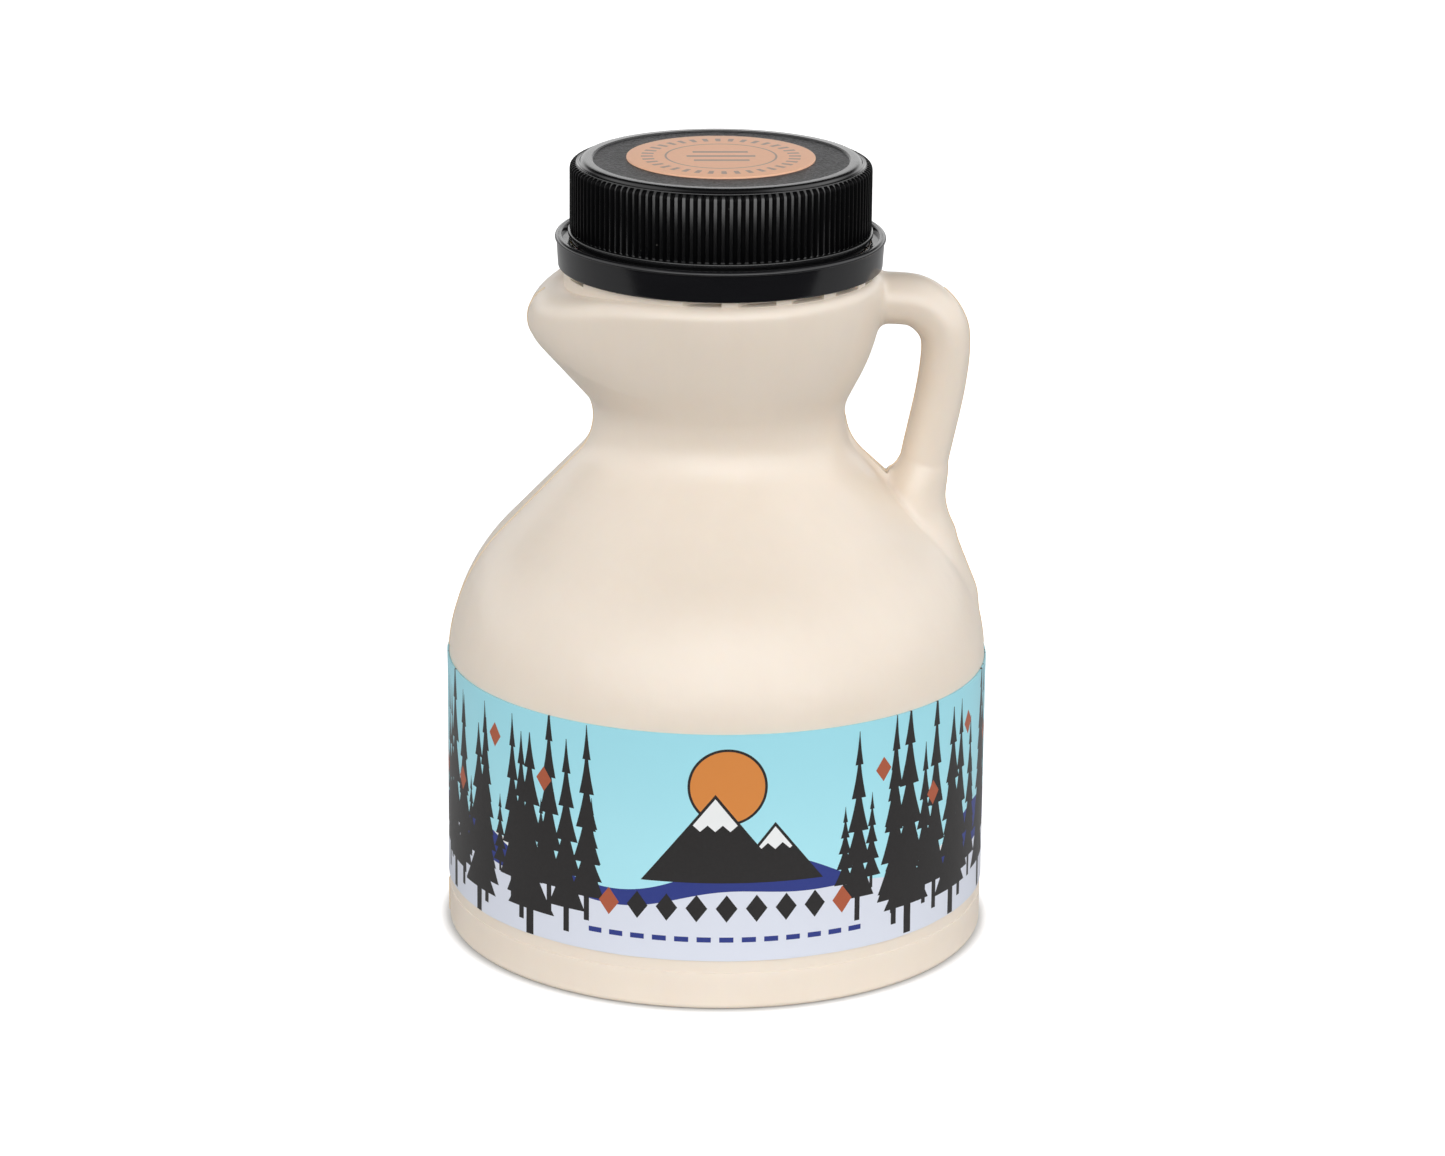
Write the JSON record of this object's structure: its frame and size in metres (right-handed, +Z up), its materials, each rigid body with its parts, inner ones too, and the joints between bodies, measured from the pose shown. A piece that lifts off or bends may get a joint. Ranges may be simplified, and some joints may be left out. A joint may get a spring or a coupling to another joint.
{
  "type": "plastic syrup jug",
  "caption": "Small cream plastic syrup jug with an ear handle, a pouring lip, a wrapped label, and a black ribbed screw cap over a tamper band.",
  "frame": {"origin": "centre of the base, on the surface that the jug stands on", "axes": "+Z up the jug's axis, +X towards the handle, -X towards the pouring lip"},
  "size_m": [0.074, 0.074, 0.1075],
  "materials": {
    "jug_plastic": "satin cream polyethylene",
    "cap_plastic": "satin black, finely grained on top",
    "band_plastic": "glossy black",
    "label_film": "printed film with a mild gloss",
    "sticker_film": "printed paper, satin"
  },
  "bodies": {
    "root": {"jug": "jug_plastic", "cap": "cap_plastic", "tamper_band": "band_plastic", "label": "label_film", "cap_sticker": "sticker_film"}
  },
  "joints": []
}
